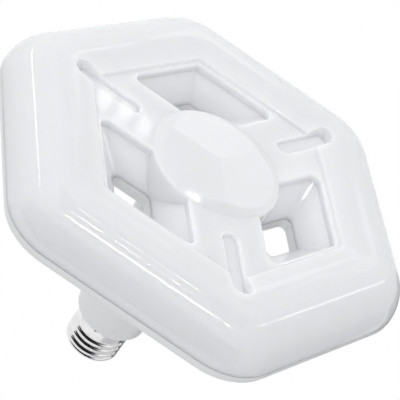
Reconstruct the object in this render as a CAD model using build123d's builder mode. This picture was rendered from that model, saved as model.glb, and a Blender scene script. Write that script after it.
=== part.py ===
"""Screw-cap LED lamp with a six-sided cube-look diffuser, as separate pieces in millimetres.

The lamp hangs by its cap. +Z points up through the cap, z = 0 is the shoulder where the metal
shell meets the plastic neck, and the light leaves downwards, so the diffuser's front is lowest.
Lengths called a drop are measured from the plane of the front ring, up towards the cap.
"""

from build123d import *

import os
from math import atan2, cos, degrees, radians, sin, sqrt, tan

os.makedirs("parts", exist_ok=True)

# Overall form
across_corners = 200.0          # hexagon measured corner to corner before rounding
corner_round = 28.0             # plan radius of each hexagon corner
front_round = 19.0              # radius from the front ring to the side
slab_depth = 22.5               # front ring to the flat of the rear housing
parting_drop = 17.5             # front ring to the joint between diffuser and housing
body_height = 107.0             # front ring to the shoulder under the cap
rear_round = 3.0                # radius at the back edge of the housing
diffuser_wall = 1.8
housing_wall = 2.0
fit_gap = 0.2                   # clearance between pieces that slide together

# Diffuser front
crest_inradius = 62.0           # axis to the middle of a side, where the ring starts to slope inwards
crest_corner_round = 8.0
crest_blend = 22.0              # radius that eases the slope into the ring's level crest
ring_edge_inradius = 53.2       # lower edge of that slope
ring_edge_drop = 2.2
ring_edge_corner_round = 3.2
ring_edge_round = 1.4
recess_inradius = 52.4          # foot of the small step inside the ring
recess_drop = 3.5               # front ring up to the arms
recess_foot_round = 0.35
pocket_centre = 38.6            # axis of the lamp to the middle of a pocket
pocket_half_gap = 17.2          # half the distance between opposite sides at the mouth
pocket_round = 3.0
pocket_edge_round = 1.3
pocket_wall_foot_drop = 7.2     # where the steep wall turns into the sloping faces
hole_half_gap = 7.6             # the same half distance at the through-hole
hole_round = 2.5
groove_inner = 38.0             # axis to the inner end of a groove's floor
groove_end_margin = 2.6         # outer end of the floor to the corner of the ring's crest
groove_floor_width = 5.8
groove_floor_drop = 5.1
groove_wall_lean = 20.0         # degrees
groove_rim_round = 0.7
hub_rim_radius = 20.5           # rim of the hub at the level of its tip
hub_shoulder_radius = 29.0      # outer edge of the sloping shoulder, at the arms
hub_foot_radius = 29.6          # where the side meets the joint plane
hub_top_drop = 0.7              # front ring up to the tip of the hub
hub_facet_slope = 4.0           # degrees that each of the three facets falls away
hub_edge_round = 2.5            # along the facets' ridges and rim
hub_shoulder_round = 1.5

# Locating lip of the rear housing, inside the diffuser's rim
lip_height = 2.4
lip_thickness = 1.6

# LED board
board_thickness = 1.6
board_drop = 15.4               # front ring to the lit face of the board
board_margin = 2.4              # board edge to the locating lip
board_corner_round = 20.0
board_wire_hole_radius = 5.0
board_tunnel_gap = 0.6

# LED packages, in rows along the ring and the arms and round the middle
led_length = 3.5
led_width = 2.8
led_height = 0.75
phosphor_height = 0.08
phosphor_border = 0.35
ring_row_inradius = 70.0
ring_row_count = 9
ring_row_pitch = 8.0
arm_row_start = 33.0
arm_row_count = 4
arm_row_pitch = 8.5
arm_row_half_gap = 5.5
middle_led_radius = 19.0
middle_led_count = 6

# Board screws and their posts in the housing
screw_margin = 2.6              # screw head to the corner of the LED board
screw_count = 6
screw_radius = 1.5
screw_grip = 4.0                # length below the board
screw_head_radius = 2.8
screw_head_height = 1.8
screw_clearance = 0.2
post_radius = 3.4

# Neck of the rear housing, and the driver housing that plugs into it
neck_base_radius = 19.0
neck_flare = 9.0
neck_height = 44.0              # rear flat of the housing up to the driver housing
neck_joint_radius = 18.3
neck_wall = 1.6
collar_radius = 16.8
collar_length = 24.0            # straight part under the cap
collar_round = 2.0
joint_spigot_length = 9.0
joint_spigot_wall = 1.4
driver_roof = 2.6
rail_bite = 1.6                 # how far the rails reach over the driver board's edge
rail_thickness = 1.4
rail_length = 30.0
rail_gap = 0.1

# Screw cap
thread_radius = 13.1
thread_pitch = 3.629
thread_count = 4
thread_groove_depth = 1.0
thread_groove_width = 2.9
plain_band = 5.0                # shoulder to the first groove
sheet = 0.4                     # metal thickness of the shell
shell_end_land = 0.75
shell_end_rise = 2.0
shell_lip_radius = 9.4
insulator_cone_base = 8.9
insulator_cone_top = 5.6
insulator_cone_height = 3.4
insulator_flange = 1.2
contact_radius = 4.8
contact_height = 2.0
contact_stem_radius = 1.3
contact_stem_length = 7.0
cap_spigot_wall = 2.0
cap_wire_hole_radius = 5.0

# Driver board and what it carries
driver_board_width = 27.6
driver_board_length = 58.0
driver_board_thickness = 1.6
driver_board_face = -2.4        # Y of the side that carries the parts
driver_board_top_gap = 1.2
solder_gap = 0.1                # round parts stand this far off the board
wire_radius = 0.65
wire_pitch = 2.5
connector_length = 7.0
connector_width = 6.4
connector_height = 4.0
connector_wall = 0.8
plug_length = 5.5
plug_tail = 1.6                 # part of the plug that stays outside the connector
connector_back = 10.5           # axis to the closed end of the connector

# Parts on the driver board: x across it and down from its top end
lead_radius = 0.35
input_cap_x = 5.2
input_cap_down = 14.5
input_cap_radius = 5.0
input_cap_length = 16.0
input_cap_lead_pitch = 5.0
bung_height = 0.8
output_cap_x = 6.6
output_cap_gap = 2.2            # power inductor to the can
output_cap_end_gap = 1.5        # can to the lower end of the driver board
output_cap_radius = 4.0
output_cap_lead_pitch = 3.5
fuse_x = -9.2
fuse_down = 5.0
fuse_radius = 1.6
fuse_length = 9.0
varistor_x = -2.2
varistor_down = 10.5
varistor_radius = 3.6
varistor_thickness = 3.2
varistor_stand = 0.6
film_cap_x = -6.6
film_cap_down = 22.5
film_cap_width = 5.0
film_cap_length = 10.0
film_cap_height = 8.5
# Packages are a body's length, width and height, legs on a side, and a leg's width and reach
bridge_x = 7.6
bridge_down = 8.0
bridge_package = (3.9, 4.9, 2.4, 2, 0.8, 1.0)
inductor_x = 4.8
inductor_down = 37.8
inductor_width = 10.0
inductor_length = 11.0
inductor_height = 10.0
inductor_flange = 1.6
inductor_core = 2.0
inductor_window_depth = 2.2
driver_ic_x = -6.4
driver_ic_down = 33.0
driver_ic_package = (3.9, 4.9, 1.5, 4, 0.45, 1.0)
diode_x = -6.6
diode_down = 39.5
diode_package = (4.3, 2.6, 2.1, 1, 1.4, 0.7)
resistor_x = -7.0
resistor_down = 47.0
resistor_count = 3
resistor_pitch = 3.2
resistor_length = 3.2
resistor_width = 1.6
resistor_height = 0.6
live_pad_x = 2.2
live_pad_down = 3.6
neutral_pad_x = -5.2
output_pad_end_gap = 1.4

# Routes of the wires: turning points, as X, Y and Z or as the named ones of them
live_turn_z = 9.0
live_throat = (0.8, 3.0, -3.0)
live_stand_y = 2.4
neutral_turn_x = -6.5
neutral_throat = (-3.0, 2.2, -1.0)
neutral_stand_y = 1.8
output_stand_y = 2.2
output_pass_y = 1.0
output_pass_rise = 16.6         # above the lit face of the LED board
output_dip_y = -1.6

# Values worked out from those above
flat_factor = cos(radians(30))
body_inradius = across_corners / 2 * flat_factor
front_z = -body_height
rear_z = front_z + slab_depth
floor_z = rear_z - housing_wall
parting_z = front_z + parting_drop
recess_z = front_z + recess_drop
board_z = front_z + board_drop
board_back_z = board_z + board_thickness
neck_joint_z = rear_z + neck_height
neck_bore_radius = neck_joint_radius - neck_wall
joint_spigot_radius = neck_bore_radius - fit_gap
joint_spigot_end = neck_joint_z - joint_spigot_length
driver_bore_radius = joint_spigot_radius - joint_spigot_wall
wall_foot_z = front_z + pocket_wall_foot_drop
pocket_spread = (pocket_half_gap - hole_half_gap) / (parting_drop - pocket_wall_foot_drop)
crest_corner_reach = crest_corner_round + (crest_inradius - crest_corner_round) / flat_factor
groove_outer = crest_corner_reach - groove_end_margin
groove_floor_z = front_z + groove_floor_drop
shoulder_lean = atan2(recess_drop - hub_top_drop, hub_shoulder_radius - hub_rim_radius)
lip_round_in = max(0, front_round - parting_drop + lip_height)
lip_draw_in = front_round - diffuser_wall - sqrt((front_round - diffuser_wall) ** 2 - lip_round_in ** 2)
lip_inradius = body_inradius - diffuser_wall - fit_gap - lip_draw_in
board_inradius = lip_inradius - lip_thickness - board_margin
board_corner_reach = board_corner_round + (board_inradius - board_corner_round) / flat_factor
screw_circle = board_corner_reach - screw_head_radius - screw_margin
thread_end = plain_band + thread_count * thread_pitch
shell_end = thread_end + shell_end_land
shell_top = shell_end + shell_end_rise
flange_top = shell_top - sheet - fit_gap
flange_bottom = flange_top - insulator_flange
groove_floor_radius = thread_radius - thread_groove_depth - sheet
band_bore_radius = thread_radius - sheet
cap_spigot_radius = groove_floor_radius - fit_gap
cap_spigot_bore = cap_spigot_radius - cap_spigot_wall
contact_bottom = shell_top + insulator_cone_height
driver_board_top = -driver_roof - driver_board_top_gap
output_cap_down = inductor_down + inductor_length / 2 + output_cap_gap
output_cap_length = driver_board_length - output_cap_end_gap - output_cap_down
output_pad_down = driver_board_length - output_pad_end_gap
arm_angles = (90, 210, 330)
pocket_angles = (30, 150, 270)


def hexagon(plane, inradius, rounding):
    """A hexagon with its corners in the directions of the arms and pockets."""
    with BuildSketch(plane) as sketch:
        RegularPolygon(inradius, 6, major_radius=False, rotation=30)
        fillet(sketch.vertices(), rounding)
    return sketch.sketch


def pocket_plane(angle, z):
    """A level plane at a pocket's middle, with its X pointing away from the lamp's axis."""
    turn = radians(angle)
    middle = (pocket_centre * cos(turn), pocket_centre * sin(turn), z)
    return Plane(origin=middle, x_dir=(cos(turn), sin(turn), 0), z_dir=(0, 0, 1))


def rhombus(plane, half_gap, rounding):
    """A pocket's outline, with its blunt corners towards and away from the lamp's axis."""
    reach = half_gap / cos(radians(30))
    across = half_gap / sin(radians(30))
    with BuildSketch(plane) as sketch:
        with BuildLine():
            Polyline((reach, 0), (0, across), (-reach, 0), (0, -across), close=True)
        make_face()
        fillet(sketch.vertices(), rounding)
    return sketch.sketch


def slab(inset):
    """The body's outer form up to the rear flat, drawn in by inset all round."""
    with BuildPart() as form:
        outline = hexagon(Plane.XY.offset(front_z + inset), body_inradius - inset, corner_round - inset)
        extrude(outline, amount=slab_depth - inset)
        fillet(form.edges().group_by(Axis.Z)[0], front_round - inset)
    return form.part


def dish(inset):
    """What the front loses inside the ring's crest: a shallow slope, then a small step to the arms."""
    edge_z = front_z + ring_edge_drop + inset
    with BuildPart() as cut:
        add(hexagon(Plane.XY.offset(front_z + inset), crest_inradius, crest_corner_round))
        add(hexagon(Plane.XY.offset(edge_z), ring_edge_inradius + inset, ring_edge_corner_round))
        loft(ruled=True)
    with BuildPart() as step:
        add(hexagon(Plane.XY.offset(edge_z), ring_edge_inradius + inset, ring_edge_corner_round))
        add(hexagon(Plane.XY.offset(recess_z + inset), recess_inradius + inset, ring_edge_corner_round))
        loft(ruled=True)
    return cut.part + step.part


def pocket(angle, inset):
    """What a pocket takes out: a steep wall under the mouth, then slopes down to the through-hole."""
    over = 1.0
    with BuildPart() as cut:
        add(rhombus(pocket_plane(angle, recess_z - over), pocket_half_gap + inset, pocket_round))
        extrude(amount=wall_foot_z + inset - recess_z + over)
        add(rhombus(pocket_plane(angle, wall_foot_z + inset), pocket_half_gap + inset, pocket_round))
        add(rhombus(pocket_plane(angle, parting_z), hole_half_gap + inset, hole_round))
        loft(ruled=True)
    return cut.part


def hub(inset, rounded):
    """The round hub: a low top of three facets whose ridges point along the arms, and a shoulder."""
    tip_z = front_z + hub_top_drop + inset
    sink = inset / cos(shoulder_lean)
    rim_radius = hub_rim_radius - (sink - inset) / tan(shoulder_lean)
    shoulder_z = recess_z + sink - inset * tan(shoulder_lean)
    with BuildPart() as form:
        with BuildSketch(Plane.XZ):
            with BuildLine():
                Polyline((0, parting_z), (hub_foot_radius - inset, parting_z),
                         (hub_shoulder_radius - inset, shoulder_z), (rim_radius, tip_z), (0, tip_z),
                         close=True)
            make_face()
        revolve(axis=Axis.Z)
        for angle in pocket_angles:
            turn = radians(angle)
            fall = radians(hub_facet_slope)
            outward = (cos(turn) * sin(fall), sin(turn) * sin(fall), -cos(fall))
            with BuildSketch(Plane(origin=(0, 0, tip_z), z_dir=outward)):
                Rectangle(4 * hub_foot_radius, 4 * hub_foot_radius)
            extrude(amount=hub_rim_radius, mode=Mode.SUBTRACT)
        if rounded:
            top = form.faces().sort_by(Axis.Z)[:3].edges()
            fillet(top, hub_edge_round)
            circles = form.edges().filter_by(GeomType.CIRCLE)
            fillet([edge for edge in circles if abs(edge.center().Z - shoulder_z) < 0.01], hub_shoulder_round)
    return form.part


def arm_grooves(inset):
    """Channels along the middle of each arm and on up the ring's slope, wider towards the front."""
    length = groove_outer - groove_inner + 2 * inset
    with BuildPart() as grooves:
        with BuildSketch(Plane.XY.offset(groove_floor_z + inset)):
            middle = (groove_inner + groove_outer) / 2
            with PolarLocations(middle, len(arm_angles), start_angle=arm_angles[0]):
                SlotOverall(length, groove_floor_width + 2 * inset)
        extrude(amount=front_z - groove_floor_z - inset, taper=-groove_wall_lean)
    return grooves.part


def diffuser_form(inset, rounded):
    """The diffuser as a solid: its outer skin at inset 0, its hollow at the wall's inset."""
    with BuildPart() as form:
        add(slab(inset))
        add(dish(inset), mode=Mode.SUBTRACT)
        if rounded:
            loops = form.edges(Select.LAST).filter_by(Plane.XY).group_by(Axis.Z)
            fillet(loops[-1], recess_foot_round)
            loops = form.edges().filter_by(Plane.XY).group_by(Axis.Z)
            inner = [loop for loop in loops if abs(loop[0].center().Z - front_z - ring_edge_drop) < 0.01][0]
            fillet(inner, ring_edge_round)
            loops = form.edges().filter_by(Plane.XY).group_by(Axis.Z)[0]
            inner = loops.sort_by_distance((0, 0, front_z))[:12]
            fillet(inner, crest_blend)
        for angle in pocket_angles:
            add(pocket(angle, inset), mode=Mode.SUBTRACT)
            if rounded:
                mouth = form.edges(Select.LAST).group_by(Axis.Z)[0]
                fillet(mouth, pocket_edge_round)
        add(arm_grooves(inset), mode=Mode.SUBTRACT)
        if rounded:
            rims = [edge for edge in form.edges(Select.LAST)
                    if max(corner.Z for corner in edge.vertices()) < groove_floor_z - 0.01]
            fillet(rims, groove_rim_round)
        add(hub(inset, rounded))
        split(bisect_by=Plane.XY.offset(parting_z), keep=Keep.BOTTOM)
    return form.part


# Diffuser, a thin moulded shell
with BuildPart() as diffuser:
    add(diffuser_form(0, True))
    add(diffuser_form(diffuser_wall, False), mode=Mode.SUBTRACT)
diffuser.part.label = "diffuser"
export_step(diffuser.part, "parts/diffuser.step")

# Rear housing: a shallow pan with a locating lip, three tunnels, screw posts and the neck
with BuildPart() as rear_housing:
    pan = hexagon(Plane.XY.offset(parting_z), body_inradius, corner_round)
    extrude(pan, amount=rear_z - parting_z)
    fillet(rear_housing.edges().group_by(Axis.Z)[-1], rear_round)
    hollow = hexagon(Plane.XY.offset(parting_z), body_inradius - housing_wall, corner_round - housing_wall)
    extrude(hollow, amount=floor_z - parting_z, mode=Mode.SUBTRACT)
    lip_round = corner_round - (body_inradius - lip_inradius)
    add(hexagon(Plane.XY.offset(parting_z - lip_height), lip_inradius, lip_round))
    extrude(amount=lip_height + (floor_z - parting_z))
    inside = hexagon(Plane.XY.offset(parting_z - lip_height), lip_inradius - lip_thickness,
                     lip_round - lip_thickness)
    extrude(inside, amount=lip_height + (floor_z - parting_z), mode=Mode.SUBTRACT)
    with BuildSketch(Plane.XY.offset(board_back_z)):
        with PolarLocations(screw_circle, screw_count, start_angle=arm_angles[0]):
            Circle(post_radius)
    extrude(amount=floor_z - board_back_z)
    for angle in pocket_angles:
        tunnel = pocket_plane(angle, parting_z)
        around = rhombus(tunnel, hole_half_gap + housing_wall, hole_round + housing_wall)
        extrude(around, amount=rear_z - parting_z)
    with BuildSketch(Plane.XZ) as neck_profile:
        with BuildLine():
            Line((0, floor_z), (neck_base_radius + neck_flare, floor_z))
            Line((neck_base_radius + neck_flare, floor_z), (neck_base_radius + neck_flare, rear_z))
            RadiusArc((neck_base_radius + neck_flare, rear_z), (neck_base_radius, rear_z + neck_flare),
                      neck_flare)
            Line((neck_base_radius, rear_z + neck_flare), (neck_joint_radius, neck_joint_z))
            Line((neck_joint_radius, neck_joint_z), (0, neck_joint_z))
            Line((0, neck_joint_z), (0, floor_z))
        make_face()
    revolve(axis=Axis.Z)
    with BuildSketch(Plane.XY.offset(floor_z)):
        Circle(neck_bore_radius)
    extrude(amount=neck_joint_z - floor_z, mode=Mode.SUBTRACT)
    for angle in pocket_angles:
        hole = rhombus(pocket_plane(angle, parting_z), hole_half_gap, hole_round)
        extrude(hole, amount=rear_z - parting_z, mode=Mode.SUBTRACT)
    with BuildSketch(Plane.XY.offset(board_back_z)):
        with PolarLocations(screw_circle, screw_count, start_angle=arm_angles[0]):
            Circle(screw_radius + screw_clearance)
    extrude(amount=screw_grip + screw_clearance, mode=Mode.SUBTRACT)
rear_housing.part.label = "rear_housing"
export_step(rear_housing.part, "parts/rear_housing.step")

# LED board: an aluminium plate with a cut-out round each tunnel
with BuildPart() as led_board:
    extrude(hexagon(Plane.XY.offset(board_z), board_inradius, board_corner_round), amount=board_thickness)
    cut_half_gap = hole_half_gap + diffuser_wall + board_tunnel_gap
    cut_half_gap = cut_half_gap + pocket_spread * (parting_drop - board_drop)
    for angle in pocket_angles:
        cut_out = rhombus(pocket_plane(angle, board_z), cut_half_gap, hole_round)
        extrude(cut_out, amount=board_thickness, mode=Mode.SUBTRACT)
    with BuildSketch(Plane.XY.offset(board_z)):
        Circle(board_wire_hole_radius)
        with PolarLocations(screw_circle, screw_count, start_angle=arm_angles[0]):
            Circle(screw_radius + screw_clearance)
    extrude(amount=board_thickness, mode=Mode.SUBTRACT)
led_board.part.label = "led_board"
export_step(led_board.part, "parts/led_board.step")


def led_places(z):
    """Where each package sits: along the six sides, in two rows up each arm, and in the middle."""
    places = []
    for side in range(6):
        turn = 60 * side
        for step in range(ring_row_count):
            along = (step - (ring_row_count - 1) / 2) * ring_row_pitch
            package = Location((ring_row_inradius, along, 0), (0, 0, 90))
            places.append(Location((0, 0, z), (0, 0, turn)) * package)
    for turn in arm_angles:
        for step in range(arm_row_count):
            for beside in (-arm_row_half_gap, arm_row_half_gap):
                out = arm_row_start + step * arm_row_pitch
                places.append(Location((0, 0, z), (0, 0, turn)) * Location((out, beside, 0)))
    for step in range(middle_led_count):
        turn = 360 / middle_led_count * step
        places.append(Location((0, 0, z), (0, 0, turn)) * Location((middle_led_radius, 0, 0), (0, 0, 90)))
    return places


# LED packages, a group of identical parts on the lit face
with BuildPart() as led_packages:
    with Locations(*led_places(board_z)):
        Box(led_length, led_width, led_height, align=(Align.CENTER, Align.CENTER, Align.MAX))
led_packages.part.label = "led_packages"
export_step(led_packages.part, "parts/led_packages.step")

# Phosphor windows, one on each package
with BuildPart() as led_phosphors:
    with Locations(*led_places(board_z - led_height)):
        Box(led_length - 2 * phosphor_border, led_width - 2 * phosphor_border, phosphor_height,
            align=(Align.CENTER, Align.CENTER, Align.MAX))
led_phosphors.part.label = "led_phosphors"
export_step(led_phosphors.part, "parts/led_phosphors.step")

# Board screws: plain round heads on straight shanks
with BuildPart() as board_screws:
    with BuildSketch(Plane.XY.offset(board_z)):
        with PolarLocations(screw_circle, screw_count, start_angle=arm_angles[0]):
            Circle(screw_head_radius)
    extrude(amount=-screw_head_height)
    with BuildSketch(Plane.XY.offset(board_z)):
        with PolarLocations(screw_circle, screw_count, start_angle=arm_angles[0]):
            Circle(screw_radius)
    extrude(amount=board_thickness + screw_grip)
board_screws.part.label = "board_screws"
export_step(board_screws.part, "parts/board_screws.step")

# Driver housing: collar, cap spigot, joint spigot and the rails that hold the driver board
with BuildPart() as driver_housing:
    with BuildSketch(Plane.XZ) as driver_profile:
        with BuildLine():
            Line((0, flange_bottom), (cap_spigot_radius, flange_bottom))
            Line((cap_spigot_radius, flange_bottom), (cap_spigot_radius, plain_band))
            Line((cap_spigot_radius, plain_band), (band_bore_radius - fit_gap, plain_band - sheet))
            Line((band_bore_radius - fit_gap, plain_band - sheet), (band_bore_radius - fit_gap, 0))
            Line((band_bore_radius - fit_gap, 0), (collar_radius - collar_round, 0))
            RadiusArc((collar_radius - collar_round, 0), (collar_radius, -collar_round), collar_round)
            Line((collar_radius, -collar_round), (collar_radius, -collar_length))
            Line((collar_radius, -collar_length), (neck_joint_radius, neck_joint_z))
            Line((neck_joint_radius, neck_joint_z), (joint_spigot_radius, neck_joint_z))
            Line((joint_spigot_radius, neck_joint_z), (joint_spigot_radius, joint_spigot_end))
            Line((joint_spigot_radius, joint_spigot_end), (0, joint_spigot_end))
            Line((0, joint_spigot_end), (0, flange_bottom))
        make_face()
    revolve(axis=Axis.Z)
    with BuildSketch(Plane.XY.offset(joint_spigot_end)):
        Circle(driver_bore_radius)
    extrude(amount=-driver_roof - joint_spigot_end, mode=Mode.SUBTRACT)
    with BuildSketch(Plane.XY.offset(-driver_roof)):
        Circle(cap_wire_hole_radius)
    extrude(amount=driver_roof, mode=Mode.SUBTRACT)
    with BuildSketch(Plane.XY):
        Circle(cap_spigot_bore)
    extrude(amount=flange_bottom, mode=Mode.SUBTRACT)
    with BuildSketch(Plane.YZ):
        with Locations((0, plain_band / 2)):
            Circle(wire_radius + fit_gap)
    extrude(amount=-band_bore_radius, mode=Mode.SUBTRACT)
    board_middle_y = driver_board_face - driver_board_thickness / 2
    rail_offset = driver_board_thickness / 2 + rail_gap + rail_thickness / 2
    for side in (-1, 1):
        for face in (-1, 1):
            rail_middle = board_middle_y + face * rail_offset
            inner = driver_board_width / 2 - rail_bite
            outer = driver_bore_radius + joint_spigot_wall / 2
            with BuildSketch(Plane.XY.offset(-driver_roof)):
                with Locations((side * (inner + outer) / 2, rail_middle)):
                    Rectangle(outer - inner, rail_thickness)
            extrude(amount=-rail_length)
driver_housing.part.label = "driver_housing"
export_step(driver_housing.part, "parts/driver_housing.step")

# Screw shell: thin sheet rolled into a round thread, open at both ends
with BuildPart() as screw_shell:
    with BuildSketch(Plane.XZ) as sheet_profile:
        with BuildLine():
            for inward in (0, sheet):
                radius = thread_radius - inward
                Line((radius, 0), (radius, plain_band))
                for turn in range(thread_count):
                    start = plain_band + turn * thread_pitch
                    middle = start + thread_groove_width / 2
                    end = start + thread_groove_width
                    shallow = radius - thread_groove_depth * 0.75
                    Polyline((radius, start), (shallow, (start + middle) / 2),
                             (radius - thread_groove_depth, middle), (shallow, (middle + end) / 2),
                             (radius, end))
                    Line((radius, end), (radius, start + thread_pitch))
                Line((radius, thread_end), (radius, shell_end))
                end_rise = shell_end_rise - inward
                Spline((radius, shell_end), (shell_lip_radius, shell_end + end_rise),
                       tangents=((0, 1), (-1, 0)))
            Line((thread_radius, 0), (thread_radius - sheet, 0))
            Line((shell_lip_radius, shell_top), (shell_lip_radius, shell_top - sheet))
        make_face()
    revolve(axis=Axis.Z)
screw_shell.part.label = "screw_shell"
export_step(screw_shell.part, "parts/screw_shell.step")

# Cap insulator: a flange held under the shell's lip and a cone that carries the contact
with BuildPart() as cap_insulator:
    with BuildSketch(Plane.XZ) as insulator_profile:
        with BuildLine():
            stem_hole = contact_stem_radius + fit_gap / 2
            flange_radius = cap_spigot_radius - fit_gap
            neck_radius = shell_lip_radius - fit_gap
            Polyline((stem_hole, flange_bottom), (flange_radius, flange_bottom),
                     (flange_radius, flange_top - 1), (neck_radius, flange_top),
                     (neck_radius, shell_top + fit_gap), (insulator_cone_base, shell_top + 2 * fit_gap),
                     (insulator_cone_top, contact_bottom), (stem_hole, contact_bottom), close=True)
        make_face()
    revolve(axis=Axis.Z)
cap_insulator.part.label = "cap_insulator"
export_step(cap_insulator.part, "parts/cap_insulator.step")

# Centre contact: a domed button with a stem through the insulator
with BuildPart() as centre_contact:
    with BuildSketch(Plane.XY.offset(contact_bottom)):
        Circle(contact_radius)
    extrude(amount=contact_height)
    fillet(centre_contact.edges().group_by(Axis.Z)[-1], contact_height * 0.7)
    with BuildSketch(Plane.XY.offset(contact_bottom)):
        Circle(contact_stem_radius)
    extrude(amount=-contact_stem_length)
centre_contact.part.label = "centre_contact"
export_step(centre_contact.part, "parts/centre_contact.step")

# Driver board, standing in the rails of the driver housing
with BuildPart() as driver_pcb:
    board_end_z = driver_board_top - driver_board_length
    with BuildSketch(Plane.XZ.offset(-driver_board_face)):
        with Locations((0, (driver_board_top + board_end_z) / 2)):
            RectangleRounded(driver_board_width, driver_board_length, 1.0)
    extrude(amount=driver_board_thickness)
driver_pcb.part.label = "driver_pcb"
export_step(driver_pcb.part, "parts/driver_pcb.step")


def on_board(x, down, height=0):
    """A plane on the driver board's face: its X runs along +X, its Y up the board, its Z outwards."""
    origin = (x, driver_board_face + height, driver_board_top - down)
    return Plane(origin=origin, x_dir=(-1, 0, 0), z_dir=(0, 1, 0))


def lying_can(x, down, radius, length, edge):
    """A capacitor or resistor body that lies along the board, just clear of it."""
    turn = Plane(origin=(x, driver_board_face + solder_gap + radius, driver_board_top - down),
                 x_dir=(1, 0, 0), z_dir=(0, 0, -1))
    with BuildPart() as can:
        with BuildSketch(turn):
            Circle(radius)
        extrude(amount=length)
        fillet(can.edges().filter_by(GeomType.CIRCLE), edge)
    return can.part


def chip(x, down, length, width, height, legs, leg_width, leg_reach):
    """A moulded chip on the board, with flat legs along its two long sides."""
    with BuildPart() as body:
        with BuildSketch(on_board(x, down, solder_gap)):
            Rectangle(length, width)
        extrude(amount=height)
        chamfer(body.edges().filter_by(Axis.Y), height / 8)
        with BuildSketch(on_board(x, down)):
            with GridLocations(length + leg_reach, width / legs, 2, legs):
                Rectangle(leg_reach + height / 4, leg_width)
        extrude(amount=height / 2)
    return body.part


with BuildPart() as electrolytic_cap:
    add(lying_can(input_cap_x, input_cap_down, input_cap_radius, input_cap_length, 0.6))
    with Locations(Location((input_cap_x, driver_board_face + solder_gap + input_cap_radius,
                             driver_board_top - input_cap_down))):
        Cylinder(input_cap_radius - 0.8, bung_height, align=(Align.CENTER, Align.CENTER, Align.MIN))
    with BuildSketch(on_board(input_cap_x, input_cap_down - bung_height / 2)):
        with GridLocations(input_cap_lead_pitch, 1, 2, 1):
            Circle(lead_radius)
    extrude(amount=input_cap_radius)
electrolytic_cap.part.label = "electrolytic_cap"
export_step(electrolytic_cap.part, "parts/electrolytic_cap.step")

with BuildPart() as output_cap:
    add(lying_can(output_cap_x, output_cap_down, output_cap_radius, output_cap_length, 0.5))
    with Locations(Location((output_cap_x, driver_board_face + solder_gap + output_cap_radius,
                             driver_board_top - output_cap_down))):
        Cylinder(output_cap_radius - 0.7, bung_height, align=(Align.CENTER, Align.CENTER, Align.MIN))
    with BuildSketch(on_board(output_cap_x, output_cap_down - bung_height / 2)):
        with GridLocations(output_cap_lead_pitch, 1, 2, 1):
            Circle(lead_radius)
    extrude(amount=output_cap_radius)
output_cap.part.label = "output_cap"
export_step(output_cap.part, "parts/output_cap.step")

with BuildPart() as fuse_resistor:
    add(lying_can(fuse_x, fuse_down, fuse_radius, fuse_length, fuse_radius * 0.4))
    for end in (fuse_down + lead_radius * 2, fuse_down + fuse_length - lead_radius * 2):
        with BuildSketch(on_board(fuse_x, end)):
            Circle(lead_radius)
        extrude(amount=fuse_radius)
fuse_resistor.part.label = "fuse_resistor"
export_step(fuse_resistor.part, "parts/fuse_resistor.step")

with BuildPart() as varistor:
    disc_centre = (varistor_x - varistor_thickness / 2, driver_board_face + varistor_stand + varistor_radius,
                   driver_board_top - varistor_down)
    with BuildSketch(Plane(origin=disc_centre, x_dir=(0, 1, 0), z_dir=(1, 0, 0))):
        Circle(varistor_radius)
    extrude(amount=varistor_thickness)
    fillet(varistor.edges().filter_by(GeomType.CIRCLE), varistor_thickness * 0.4)
    with BuildSketch(on_board(varistor_x, varistor_down)):
        with GridLocations(1, varistor_radius, 1, 2):
            Circle(lead_radius)
    extrude(amount=varistor_radius)
varistor.part.label = "varistor"
export_step(varistor.part, "parts/varistor.step")

with BuildPart() as input_film_cap:
    with BuildSketch(on_board(film_cap_x, film_cap_down, solder_gap)):
        RectangleRounded(film_cap_width, film_cap_length, 0.8)
    extrude(amount=film_cap_height)
    fillet(input_film_cap.faces().sort_by(Axis.Y)[-1].edges(), 0.7)
    with BuildSketch(on_board(film_cap_x, film_cap_down)):
        with GridLocations(1, film_cap_length * 0.7, 1, 2):
            Circle(lead_radius)
    extrude(amount=solder_gap + 1)
input_film_cap.part.label = "input_film_cap"
export_step(input_film_cap.part, "parts/input_film_cap.step")

with BuildPart() as bridge_rectifier:
    add(chip(bridge_x, bridge_down, *bridge_package))
bridge_rectifier.part.label = "bridge_rectifier"
export_step(bridge_rectifier.part, "parts/bridge_rectifier.step")

with BuildPart() as driver_ic:
    add(chip(driver_ic_x, driver_ic_down, *driver_ic_package))
driver_ic.part.label = "driver_ic"
export_step(driver_ic.part, "parts/driver_ic.step")

with BuildPart() as freewheel_diode:
    add(chip(diode_x, diode_down, *diode_package))
freewheel_diode.part.label = "freewheel_diode"
export_step(freewheel_diode.part, "parts/freewheel_diode.step")

with BuildPart() as sense_resistors:
    with BuildSketch(on_board(resistor_x, resistor_down)):
        with GridLocations(1, resistor_pitch, 1, resistor_count):
            Rectangle(resistor_length, resistor_width)
    extrude(amount=resistor_height)
sense_resistors.part.label = "sense_resistors"
export_step(sense_resistors.part, "parts/sense_resistors.step")

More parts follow.
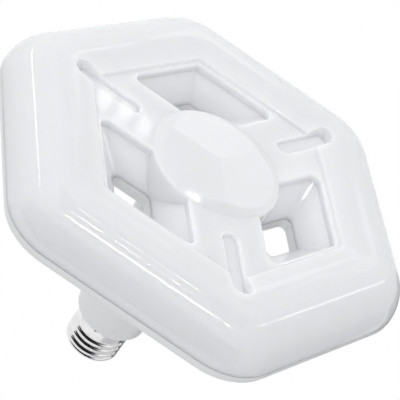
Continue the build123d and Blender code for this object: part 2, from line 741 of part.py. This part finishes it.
# Power inductor: a bobbin and winding between the two halves of a ferrite core
with BuildPart() as power_inductor:
    with BuildSketch(on_board(inductor_x, inductor_down, solder_gap)):
        Rectangle(inductor_width, inductor_length)
    extrude(amount=inductor_height)
    chamfer(power_inductor.edges().filter_by(Axis.Y), 0.6)
    with BuildSketch(on_board(inductor_x, inductor_down, solder_gap + inductor_flange)):
        with GridLocations(inductor_width, 1, 2, 1):
            Rectangle(2 * inductor_window_depth, inductor_length - 2 * inductor_core)
    extrude(amount=inductor_height - 2 * inductor_flange, mode=Mode.SUBTRACT)
    middle = on_board(inductor_x, inductor_down, solder_gap + inductor_flange)
    with BuildSketch(middle):
        SlotOverall(inductor_width * 0.8, inductor_length - 2 * inductor_core - 0.4)
    extrude(amount=inductor_height - 2 * inductor_flange)
    with BuildSketch(on_board(inductor_x, inductor_down)):
        with GridLocations(inductor_width * 0.6, inductor_length * 0.8, 2, 2):
            Circle(lead_radius)
    extrude(amount=solder_gap + 0.5)
power_inductor.part.label = "power_inductor"
export_step(power_inductor.part, "parts/power_inductor.step")


def wire(points):
    """A round wire along straight runs, each bend as large as its two runs allow."""
    corners = [Vector(*point) for point in points]
    radii = []
    for before, here, after in zip(corners, corners[1:], corners[2:]):
        turn = (here - before).get_angle(after - here)
        shorter = min((here - before).length, (after - here).length)
        radii.append(0.45 * shorter / tan(radians(turn / 2)))
    with BuildPart() as insulated:
        with BuildLine():
            FilletPolyline(*points, radius=radii)
        with BuildSketch(Plane(origin=corners[0], z_dir=corners[1] - corners[0])):
            Circle(wire_radius)
        sweep()
    return insulated.part


# Mains wires, from the contact's stem and from the shell's band to the driver board
with BuildPart() as live_wire:
    add(wire(((0, 0, contact_bottom - contact_stem_length), (0, 0, live_turn_z), live_throat,
              (live_pad_x, live_stand_y, driver_board_top - live_pad_down),
              (live_pad_x, driver_board_face, driver_board_top - live_pad_down))))
live_wire.part.label = "live_wire"
export_step(live_wire.part, "parts/live_wire.step")

with BuildPart() as neutral_wire:
    add(wire(((wire_radius / 10 - band_bore_radius, 0, plain_band / 2), (neutral_turn_x, 0, plain_band / 2),
              neutral_throat,
              (neutral_pad_x, neutral_stand_y, driver_board_top - live_pad_down),
              (neutral_pad_x, driver_board_face, driver_board_top - live_pad_down))))
neutral_wire.part.label = "neutral_wire"
export_step(neutral_wire.part, "parts/neutral_wire.step")

# Connector on the LED board and the plug that the driver's output wires end in
with BuildPart() as board_connector:
    with BuildSketch(Plane.XY.offset(board_z)):
        with Locations((0, connector_back - connector_length / 2)):
            Rectangle(connector_width, connector_length)
    extrude(amount=-connector_height)
    with BuildSketch(Plane.XZ.offset(-(connector_back - connector_length))):
        with Locations((0, board_z - connector_height / 2)):
            Rectangle(connector_width - 2 * connector_wall, connector_height - 2 * connector_wall)
    extrude(amount=-(connector_length - connector_wall), mode=Mode.SUBTRACT)
board_connector.part.label = "board_connector"
export_step(board_connector.part, "parts/board_connector.step")

plug_face = connector_back - connector_length - plug_tail
with BuildPart() as connector_plug:
    with BuildSketch(Plane.XZ.offset(-plug_face)):
        with Locations((0, board_z - connector_height / 2)):
            RectangleRounded(connector_width - 2 * connector_wall - fit_gap,
                             connector_height - 2 * connector_wall - fit_gap, 0.2)
    extrude(amount=-(connector_length - connector_wall - fit_gap + plug_tail))
connector_plug.part.label = "connector_plug"
export_step(connector_plug.part, "parts/connector_plug.step")


def output_wire(x):
    """From a pad near the driver board's end, down through the LED board to the plug."""
    plug_z = board_z - connector_height / 2
    pad_z = driver_board_top - output_pad_down
    return wire(((x, driver_board_face, pad_z), (x, output_stand_y, pad_z),
                 (x, output_pass_y, board_z + output_pass_rise), (x, output_dip_y, plug_z),
                 (x, plug_face, plug_z)))


with BuildPart() as led_wire_positive:
    add(output_wire(wire_pitch / 2))
led_wire_positive.part.label = "led_wire_positive"
export_step(led_wire_positive.part, "parts/led_wire_positive.step")

with BuildPart() as led_wire_negative:
    add(output_wire(-wire_pitch / 2))
led_wire_negative.part.label = "led_wire_negative"
export_step(led_wire_negative.part, "parts/led_wire_negative.step")
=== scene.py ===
"""Looks of the six-sided LED lamp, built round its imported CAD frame. Metres, +Z up through the cap.

The lamp hangs by its cap, so its lit front faces down. The camera looks up at the front from one
side, as in the photograph. A direction round the lamp is an azimuth in degrees from +X, turning
towards +Y, and an elevation in degrees above the horizon.
"""

from math import cos, pi, radians, sin, sqrt, tau

import bmesh
import bpy
from mathutils import Matrix, Quaternion, Vector


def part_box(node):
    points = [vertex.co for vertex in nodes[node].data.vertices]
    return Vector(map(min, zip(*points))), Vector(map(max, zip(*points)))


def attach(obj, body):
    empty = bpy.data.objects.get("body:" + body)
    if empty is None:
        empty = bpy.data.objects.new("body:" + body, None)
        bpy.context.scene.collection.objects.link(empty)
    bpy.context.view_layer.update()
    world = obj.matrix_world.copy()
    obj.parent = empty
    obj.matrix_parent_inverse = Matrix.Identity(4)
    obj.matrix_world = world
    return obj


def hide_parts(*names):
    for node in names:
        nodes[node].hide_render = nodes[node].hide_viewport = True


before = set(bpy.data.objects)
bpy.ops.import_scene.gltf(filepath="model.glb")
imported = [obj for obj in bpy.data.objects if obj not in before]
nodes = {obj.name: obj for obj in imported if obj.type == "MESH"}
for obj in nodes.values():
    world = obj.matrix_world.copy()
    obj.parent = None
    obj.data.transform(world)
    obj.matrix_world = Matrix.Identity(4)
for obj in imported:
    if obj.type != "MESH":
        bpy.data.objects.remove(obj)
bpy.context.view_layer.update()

MM = 0.001

# Camera, as fitted to the photograph
CAMERA_AIM = Vector((-0.00833, -0.00915, -0.09225))
CAMERA_DISTANCE = 0.57669
CAMERA_AZIMUTH = -117.774
CAMERA_ELEVATION = -39.076
CAMERA_ROLL = -144.304
CAMERA_NEAR = 0.01
SENSOR_WIDTH = 36.0             # in millimetres, as lenses are
PHOTO_SIZE = 400
FOCAL_PIXELS = 1430.5

# Screw cap, whose sizes come from the shell that it replaces
SHELL_LOW, SHELL_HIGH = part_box("screw_shell")
SHELL_RADIUS = (SHELL_HIGH[0] - SHELL_LOW[0]) / 2
SHELL_TOP = SHELL_HIGH[2]
SHELL_LIP_RADIUS = 9.4 * MM
SHELL_LIP_RISE = 2.0 * MM
SHELL_COLUMNS = 224
SHELL_ROW_STEP = 0.26 * MM
SHELL_LIP_ROWS = 8
SHEET = 0.4 * MM
BAND = 5.0 * MM                 # plain metal below the thread
CAP_MIDDLE = Vector((0, 0, SHELL_TOP / 2))

THREAD_PITCH = 3.629 * MM
THREAD_TURNS = 4
THREAD_DEPTH = 1.0 * MM
THREAD_FADE = 0.35 * THREAD_PITCH       # rise over which the groove deepens or runs out
THREAD_START = BAND + 1.4 * THREAD_FADE
THREAD_END = BAND + THREAD_TURNS * THREAD_PITCH + 0.5 * MM
GROOVE_SHARE = 0.8                      # share of a pitch that the rounded groove takes
GROOVE_POWER = 1.4                      # above 1, its sides are slacker and its floor tighter

DENT_COUNT = 11
DENT_HEIGHT = 1.9 * MM
DENT_RADIUS = 1.3 * MM
DENT_DEPTH = 0.6 * MM
DENT_REACH = 1.25                       # where a dent's slope ends, in dent radii

# Studio
SURROUND = (0.98, 0.985, 1.0, 1)
SURROUND_STRENGTH = 0.64
WINDOW_DISTANCE = 1.4
FLOOR_LEVEL = -1.8
FLOOR_SIZE = 8.0
FLOOR_GREY = 0.86
FLOOR_ROUGHNESS = 0.9

# Broad lamps: azimuth, elevation, distance, size and brightness
SOFT_BOXES = {
    "key": (10, -60, 0.7, 0.45, 1.65),
    "side": (-30, -10, 0.9, 0.6, 0.9),
    "near": (240, -25, 1.2, 0.6, 2.4),
    "far": (60, -20, 1.5, 0.6, 1.2),
    "low": (180, -15, 1.0, 0.5, 0.45),
}

# Windows: the point they show at in millimetres, azimuth, elevation, the azimuth they run along,
# then panes, size and open share along and across it, and brightness
WINDOWS = {
    "window_side": ((44, -66, -103), -7, -28, 30, (3, 1), (0.9, 0.03), (0.95, 1), 9),
    "window_edge": ((-32, -72, -104), -123, -75, 150, (4, 1), (0.6, 0.016), (0.94, 1), 60),
    "window_bars": ((-12, -79, -105), 60, -90, 150, (2, 3), (0.30, 1.20), (0.9, 0.04), 40),
    "window_arm": ((31, -31, -103.5), 56.5, -38.5, 150, (3, 2), (0.10, 0.08), (0.6, 0.66), 3),
    "window_slope": ((52, 1, -104), 115, -42, 90, (2, 1), (0.7, 0.08), (0.95, 1), 3.5),
    "window_hub": ((15, 7, -105), 58, -31, 150, (1, 1), (0.20, 0.16), (1, 1), 0.8),
    "window_facet": ((-12, 8, -105), 70, -36, 150, (1, 1), (0.20, 0.10), (1, 1), 0.65),
}

# Cards: the point they face, azimuth, elevation, distance, size and grey
CARDS = {
    "card_camera": (CAMERA_AIM, -108, -17, 1.0, (3.7, 1.0), 0.01),
    "card_below": (CAMERA_AIM, 60, -82, 1.5, (1.2, 1.0), 0.25),
    "card_back": (CAP_MIDDLE, 172, 15, 0.25, (0.40, 0.34), 0.78),
    "card_edge": (CAP_MIDDLE, 116, 15, 0.24, (0.14, 0.32), 0.2),
}


def direction(azimuth, elevation):
    level = cos(radians(elevation))
    return Vector((cos(radians(azimuth)) * level, sin(radians(azimuth)) * level,
                   sin(radians(elevation))))


def linked(name, data):
    """A new object of the scene that carries the data."""
    made = bpy.data.objects.new(name, data)
    bpy.context.scene.collection.objects.link(made)
    return made


def meshed(name, mesh):
    """The mesh data of a finished bmesh, which is freed."""
    data = bpy.data.meshes.new(name)
    mesh.to_mesh(data)
    mesh.free()
    return data


def add_camera():
    """A camera on the line of sight that the photograph has, rolled about it."""
    data = bpy.data.cameras.new("camera")
    data.sensor_width = SENSOR_WIDTH
    data.lens = FOCAL_PIXELS / PHOTO_SIZE * SENSOR_WIDTH
    data.clip_start = CAMERA_NEAR
    camera = linked("camera", data)
    look = -direction(CAMERA_AZIMUTH, CAMERA_ELEVATION)
    turn = look.to_track_quat("-Z", "Y") @ Quaternion((0, 0, 1), radians(CAMERA_ROLL))
    camera.matrix_world = Matrix.LocRotScale(CAMERA_AIM - look * CAMERA_DISTANCE, turn, None)
    bpy.context.scene.camera = camera


class Nodes:
    """A material's node tree, with its Principled shader, and short ways to add to it."""

    def __init__(self, name, **sockets):
        self.material = bpy.data.materials.new(name)
        self.material.use_nodes = True
        self.tree = self.material.node_tree
        self.shader = self.tree.nodes["Principled BSDF"]
        self.place = self.add("TexCoord").outputs["Object"]
        for socket, value in sockets.items():
            self.shader.inputs[socket.replace("_", " ")].default_value = value

    def add(self, kind, **settings):
        node = self.tree.nodes.new("ShaderNode" + kind)
        for setting, value in settings.items():
            setattr(node, setting, value)
        return node

    def link(self, source, target):
        self.tree.links.new(source, target)

    def noise(self, scale, detail=2.0, roughness=0.5, stretch=(1, 1, 1)):
        """A noise field with features about 1 / scale metres across."""
        place = self.place
        if stretch != (1, 1, 1):
            mapping = self.add("Mapping")
            mapping.inputs["Scale"].default_value = stretch
            self.link(self.place, mapping.inputs["Vector"])
            place = mapping.outputs["Vector"]
        noise = self.add("TexNoise")
        noise.inputs["Scale"].default_value = scale
        noise.inputs["Detail"].default_value = detail
        noise.inputs["Roughness"].default_value = roughness
        self.link(place, noise.inputs["Vector"])
        return noise.outputs["Fac"]

    def span(self, source, low, high, from_low=0.3, from_high=0.7):
        """The source's values, stretched so that from_low to from_high becomes low to high."""
        node = self.add("MapRange")
        node.inputs["From Min"].default_value = from_low
        node.inputs["From Max"].default_value = from_high
        node.inputs["To Min"].default_value = low
        node.inputs["To Max"].default_value = high
        self.link(source, node.inputs["Value"])
        return node.outputs["Result"]

    def blend(self, factor, first, second):
        """A colour between the first, at factor 0, and the second, at factor 1."""
        node = self.add("Mix", data_type="RGBA")
        self.link(factor, node.inputs["Factor"])
        colours = [slot for slot in node.inputs if slot.type == "RGBA"]
        for slot, colour in zip(colours, (first, second)):
            if isinstance(colour, tuple):
                slot.default_value = (*colour, 1)
            else:
                self.link(colour, slot)
        return next(slot for slot in node.outputs if slot.type == "RGBA")

    def band(self, axis, low, high):
        """1 between two levels of an axis, 0 elsewhere."""
        parts = self.add("SeparateXYZ")
        self.link(self.place, parts.inputs[0])
        middle = self.add("Math", operation="COMPARE")
        self.link(parts.outputs[axis], middle.inputs[0])
        middle.inputs[1].default_value = (low + high) / 2
        middle.inputs[2].default_value = (high - low) / 2
        return middle.outputs[0]

    def bump(self, *layers):
        """Bumps, each a height field and its full height in metres, one on the other."""
        normal = None
        for height, distance in layers:
            node = self.add("Bump")
            node.inputs["Distance"].default_value = distance
            node.inputs["Strength"].default_value = 1.0
            self.link(height, node.inputs["Height"])
            if normal:
                self.link(normal, node.inputs["Normal"])
            normal = node.outputs["Normal"]
        self.link(normal, self.shader.inputs["Normal"])

    def colour(self, source):
        self.link(source, self.shader.inputs["Base Color"])

    def roughness(self, source):
        self.link(source, self.shader.inputs["Roughness"])


def moulded(name, first, second, rough, grain=900, wave_height=0.025 * MM, **sockets):
    """Moulded plastic: a faint drift of colour, fine grain, and the slow wave of a thin wall."""
    drift, sheen, wave = 45, 130, 38
    plastic = Nodes(name, **sockets)
    plastic.colour(plastic.blend(plastic.span(plastic.noise(drift), 0, 1), first, second))
    plastic.roughness(plastic.span(plastic.noise(sheen, 3), rough - 0.03, rough + 0.03))
    plastic.bump((plastic.noise(wave, 1.0), wave_height), (plastic.noise(grain, 2), 0.001 * MM))
    return plastic


def metal(name, first, second, rough, stretch=(1, 1, 12)):
    """Plated metal with rubbed places, shallow waves, and fine lines where the noise is stretched."""
    patches, rubbing, lines, waves = 220, 500, 900, 160
    plated = Nodes(name, Metallic=1.0)
    plated.colour(plated.blend(plated.span(plated.noise(patches, 4), 0, 1), first, second))
    rubbed = plated.noise(rubbing, 5, 0.6, stretch)
    plated.roughness(plated.span(rubbed, rough - 0.06, rough + 0.08))
    plated.bump((plated.noise(lines, 4, 0.6, stretch), 0.01 * MM),
                (plated.noise(waves, 2), 0.04 * MM))
    return plated


def board(name, mask, bare):
    """A printed board: mask colour over the faint raised pattern of its copper."""
    pattern, sheen, grain = 160, 400, 1500
    printed = Nodes(name)
    tracks = printed.add("TexVoronoi", distance="CHEBYCHEV")
    tracks.inputs["Scale"].default_value = pattern
    printed.link(printed.place, tracks.inputs["Vector"])
    copper = printed.span(tracks.outputs["Distance"], 0, 1, 0.25, 0.35)
    printed.colour(printed.blend(copper, mask, bare))
    printed.roughness(printed.span(printed.noise(sheen, 3), 0.27, 0.45))
    printed.bump((copper, 0.03 * MM), (printed.noise(grain, 2), 0.005 * MM))
    return printed


def sleeved(name, node, sleeve, stripe):
    """A capacitor in a shrunk sleeve with a plain stripe along it, and bare aluminium at its end."""
    aluminium, bare_rim, half_stripe = (0.72, 0.72, 0.73), 0.4 * MM, 1.2 * MM
    low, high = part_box(node)
    can = Nodes(name, Coat_Weight=0.2)
    end = can.band("Z", low[2] - MM, low[2] + bare_rim)
    middle = (low[0] + high[0]) / 2
    striped = can.blend(can.band("X", middle - half_stripe, middle + half_stripe), sleeve, stripe)
    can.colour(can.blend(end, striped, aluminium))
    can.link(end, can.shader.inputs["Metallic"])
    can.roughness(can.span(can.noise(700, 3), 0.22, 0.4))
    can.bump((can.noise(500, 3), 0.02 * MM))
    return can


def wound_ferrite(name, node, flange, core):
    """Dark ferrite whose open middle shows copper turns."""
    low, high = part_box(node)
    choke = Nodes(name)
    winding = choke.add("Math", operation="MULTIPLY")
    choke.link(choke.band("Y", low[1] + flange, high[1] - flange), winding.inputs[0])
    choke.link(choke.band("Z", low[2] + core, high[2] - core), winding.inputs[1])
    turns = choke.add("TexWave", bands_direction="Y")
    turns.inputs["Scale"].default_value = 900
    choke.link(choke.place, turns.inputs["Vector"])
    copper = choke.blend(turns.outputs["Fac"], (0.36, 0.13, 0.05), (0.72, 0.33, 0.14))
    ferrite = choke.blend(choke.noise(600, 4), (0.035, 0.035, 0.038), (0.075, 0.072, 0.07))
    choke.colour(choke.blend(winding.outputs[0], ferrite, copper))
    choke.roughness(choke.span(choke.noise(800, 3), 0.4, 0.7))
    choke.bump((turns.outputs["Fac"], 0.05 * MM), (choke.noise(1200, 3), 0.02 * MM))
    return choke


def assign(node, look):
    data = nodes[node].data
    data.materials.clear()
    data.materials.append(look.material)


def plastic_set(table):
    """One moulded look for each entry: the nodes that wear it, two close colours and a roughness."""
    for name, (wearers, first, second, rough) in table.items():
        look = moulded(name, first, second, rough, grain=2200, wave_height=0.01 * MM)
        for node in wearers:
            assign(node, look)


def smooth_step(value):
    value = min(max(value, 0.0), 1.0)
    return value * value * (3 - 2 * value)


def thread_dip(turn, height):
    """How far the sheet is rolled in at this share of a turn and height above the shoulder."""
    phase = ((height - BAND) / THREAD_PITCH - turn) % 1.0
    if phase > GROOVE_SHARE:
        return 0.0
    fade = smooth_step((height - THREAD_START) / THREAD_FADE)
    fade = fade * smooth_step((THREAD_END - height) / THREAD_FADE)
    return THREAD_DEPTH * fade * sin(pi * phase / GROOVE_SHARE) ** GROOVE_POWER


def dent_dip(turn, height):
    """Depth of the punched dents that hold the band to the collar's spigot."""
    along = ((turn * DENT_COUNT) % 1.0 - 0.5) / DENT_COUNT * tau * SHELL_RADIUS
    reach = sqrt(along * along + (height - DENT_HEIGHT) ** 2) / DENT_RADIUS
    return DENT_DEPTH * smooth_step(DENT_REACH - reach)


def shell_wall(mesh, inward):
    """Rings of points up one face of the sheet, which lies inward of the outside, to its lip."""
    turns = [column / SHELL_COLUMNS for column in range(SHELL_COLUMNS)]
    straight = SHELL_TOP - SHELL_LIP_RISE
    steps = round(straight / SHELL_ROW_STEP)
    rings = []
    for step in range(steps + 1):
        height = straight * step / steps
        rings.append((height, [SHELL_RADIUS - inward - thread_dip(turn, height)
                               - dent_dip(turn, height) for turn in turns]))
    for step in range(1, SHELL_LIP_ROWS + 1):
        sweep = step / SHELL_LIP_ROWS * pi / 2
        radius = SHELL_LIP_RADIUS + (SHELL_RADIUS - inward - SHELL_LIP_RADIUS) * cos(sweep)
        height = straight + (SHELL_LIP_RISE - inward) * sin(sweep)
        rings.append((height, [radius] * SHELL_COLUMNS))
    return [[mesh.verts.new((radius * cos(turn * tau), radius * sin(turn * tau), height))
             for turn, radius in zip(turns, radii)] for height, radii in rings]


def screw_shell():
    """Thin sheet rolled into one continuous round thread, with a turned-in lip and an open base."""
    mesh = bmesh.new()
    outside = shell_wall(mesh, 0.0)
    inside = shell_wall(mesh, SHEET)
    loop = outside + inside[::-1] + outside[:1]
    for lower, upper in zip(loop, loop[1:]):
        for column in range(SHELL_COLUMNS):
            after = (column + 1) % SHELL_COLUMNS
            mesh.faces.new((lower[column], lower[after], upper[after], upper[column]))
    bmesh.ops.recalc_face_normals(mesh, faces=mesh.faces)
    data = meshed("screw_shell_thread", mesh)
    for face in data.polygons:
        face.use_smooth = True
    piece = linked("screw_shell_thread", data)
    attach(piece, "root")
    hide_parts("screw_shell")
    return piece


def facing(place, point, along):
    """The turn of a flat sheet at one place that faces a point, its X nearest to an azimuth."""
    normal = (place - point).normalized()
    level = direction(along, 0)
    across = (level - level.dot(normal) * normal).normalized()
    return Matrix((across, normal.cross(across), normal)).transposed().to_quaternion()


def sheet_lamp(name, place, way, width, height, brightness):
    """A flat lamp of a given brightness, so its power grows with its area."""
    data = bpy.data.lights.new(name, "AREA")
    data.shape = "RECTANGLE"
    data.size = width
    data.size_y = height
    data.energy = brightness * width * height * pi
    lamp = linked(name, data)
    lamp.matrix_world = Matrix.LocRotScale(place, way, None)
    return lamp


def soft_box(name, azimuth, elevation, distance, size, brightness):
    """A large square lamp that shapes the lamp's body and leaves no patch of its own in the gloss."""
    place = CAMERA_AIM + direction(azimuth, elevation) * distance
    way = facing(place, CAMERA_AIM, azimuth + 90)
    lamp = sheet_lamp(name, place, way, size, size, brightness)
    lamp.visible_glossy = False


def window(name, point, azimuth, elevation, along, panes, size, open_share, brightness):
    """Panes of bright glass that show in the gloss round a point of the lamp."""
    point = Vector(point) * MM
    middle = point + direction(azimuth, elevation) * WINDOW_DISTANCE
    way = facing(middle, point, along)
    step = [length / count for length, count in zip(size, panes)]
    for column in range(panes[0]):
        for row in range(panes[1]):
            offset = Vector(((column - (panes[0] - 1) / 2) * step[0],
                             (row - (panes[1] - 1) / 2) * step[1], 0))
            sheet_lamp(f"{name}_{column}_{row}", middle + way @ offset, way,
                       step[0] * open_share[0], step[1] * open_share[1], brightness)


def flat_sheet(name, width, height, grey, roughness):
    """A plain grey sheet, flat in its own XY plane."""
    matt = bpy.data.materials.new(name)
    matt.use_nodes = True
    shader = matt.node_tree.nodes["Principled BSDF"]
    shader.inputs["Base Color"].default_value = (grey, grey, grey, 1)
    shader.inputs["Roughness"].default_value = roughness
    mesh = bmesh.new()
    bmesh.ops.create_grid(mesh, x_segments=1, y_segments=1, size=0.5)
    bmesh.ops.scale(mesh, vec=(width, height, 1), verts=mesh.verts)
    data = meshed(name, mesh)
    data.materials.append(matt)
    return linked(name, data)


def dark_card(name, point, azimuth, elevation, distance, size, grey):
    """A matt card off to one side, which only shows as a darker patch in metal and gloss."""
    card = flat_sheet(name, *size, grey, 1.0)
    place = point + direction(azimuth, elevation) * distance
    card.matrix_world = Matrix.LocRotScale(place, facing(place, point, azimuth + 90), None)
    card.visible_camera = False
    card.visible_diffuse = False
    card.visible_shadow = False


def seen_white(tree, lit, output):
    """White where the camera, gloss or glass looks, and otherwise the lit surface or surround."""
    ray = tree.nodes.new("ShaderNodeLightPath")
    looks = ray.outputs["Is Camera Ray"]
    for name in ("Is Glossy Ray", "Is Transmission Ray"):
        either = tree.nodes.new("ShaderNodeMath")
        either.operation = "MAXIMUM"
        tree.links.new(looks, either.inputs[0])
        tree.links.new(ray.outputs[name], either.inputs[1])
        looks = either.outputs[0]
    kind = "ShaderNodeBackground" if lit.type == "BACKGROUND" else "ShaderNodeEmission"
    white_light = tree.nodes.new(kind)
    white_light.inputs["Color"].default_value = (1, 1, 1, 1)
    mixer = tree.nodes.new("ShaderNodeMixShader")
    tree.links.new(looks, mixer.inputs[0])
    tree.links.new(lit.outputs[0], mixer.inputs[1])
    tree.links.new(white_light.outputs[0], mixer.inputs[2])
    tree.links.new(mixer.outputs[0], tree.nodes[output].inputs[0])


def studio():
    """A pale floor far below, a white surround, broad soft lamps, windows for the gloss, and cards."""
    world = bpy.data.worlds.new("studio")
    bpy.context.scene.world = world
    world.use_nodes = True
    around = world.node_tree.nodes["Background"]
    around.inputs["Color"].default_value = SURROUND
    around.inputs["Strength"].default_value = SURROUND_STRENGTH
    seen_white(world.node_tree, around, "World Output")

    floor = flat_sheet("floor", FLOOR_SIZE, FLOOR_SIZE, FLOOR_GREY, FLOOR_ROUGHNESS)
    floor.matrix_world = Matrix.Translation((0, 0, FLOOR_LEVEL))
    pale = floor.data.materials[0].node_tree
    seen_white(pale, pale.nodes["Principled BSDF"], "Material Output")

    for name, settings in SOFT_BOXES.items():
        soft_box(name, *settings)
    for name, settings in WINDOWS.items():
        window(name, *settings)
    for name, settings in CARDS.items():
        dark_card(name, *settings)


add_camera()

white = moulded("diffuser_plastic", (0.929, 0.926, 0.944), (0.914, 0.912, 0.932), 0.045,
                Subsurface_Weight=0.7, Subsurface_Radius=(1.0, 0.95, 0.9), Subsurface_Scale=7 * MM)
assign("diffuser", white)
housing = moulded("housing_plastic", (0.79, 0.793, 0.80), (0.775, 0.78, 0.79), 0.3)
assign("rear_housing", housing)
assign("driver_housing", housing)

cap_metal = metal("cap_metal", (0.86, 0.86, 0.865), (0.74, 0.74, 0.75), 0.09)
shell = screw_shell()
shell.data.materials.append(cap_metal.material)
EVEN = (1, 1, 1)
assign("centre_contact", metal("contact_metal", (0.72, 0.69, 0.62), (0.6, 0.57, 0.5), 0.3, EVEN))
assign("cap_insulator", moulded("insulator", (0.02, 0.02, 0.022), (0.03, 0.03, 0.032), 0.16,
                                Coat_Weight=0.4))

assign("led_board", board("board_aluminium", (0.86, 0.86, 0.85), (0.80, 0.80, 0.79)))
assign("board_screws", metal("screw_steel", (0.66, 0.66, 0.67), (0.5, 0.5, 0.52), 0.3, EVEN))
assign("driver_pcb", board("driver_board", (0.03, 0.16, 0.07), (0.05, 0.24, 0.11)))
assign("electrolytic_cap", sleeved("input_sleeve", "electrolytic_cap", (0.03, 0.03, 0.035),
                                   (0.6, 0.6, 0.6)))
assign("output_cap", sleeved("output_sleeve", "output_cap", (0.02, 0.05, 0.10),
                             (0.62, 0.62, 0.6)))
assign("power_inductor", wound_ferrite("ferrite", "power_inductor", 1.7 * MM, 2.0 * MM))
plastic_set({
    "led_body": (("led_packages",), (0.88, 0.88, 0.86), (0.84, 0.84, 0.82), 0.3),
    "led_phosphor": (("led_phosphors",), (0.90, 0.78, 0.22), (0.86, 0.70, 0.16), 0.35),
    "connector_nylon": (("board_connector", "connector_plug"),
                        (0.80, 0.78, 0.72), (0.75, 0.73, 0.67), 0.4),
    "chip_plastic": (("bridge_rectifier", "driver_ic", "sense_resistors", "freewheel_diode"),
                     (0.025, 0.025, 0.028), (0.04, 0.04, 0.043), 0.45),
    "resistor_coat": (("fuse_resistor",), (0.16, 0.32, 0.20), (0.12, 0.27, 0.17), 0.4),
    "varistor_coat": (("varistor",), (0.04, 0.12, 0.42), (0.03, 0.10, 0.36), 0.35),
    "film_cap_case": (("input_film_cap",), (0.62, 0.10, 0.05), (0.55, 0.08, 0.04), 0.35),
    "wire_red": (("live_wire", "led_wire_positive"), (0.55, 0.03, 0.03), (0.48, 0.02, 0.02), 0.4),
    "wire_white": (("neutral_wire",), (0.80, 0.80, 0.78), (0.75, 0.75, 0.73), 0.4),
    "wire_black": (("led_wire_negative",), (0.02, 0.02, 0.022), (0.035, 0.035, 0.037), 0.4),
})

studio()
bpy.context.scene.view_settings.view_transform = "Standard"
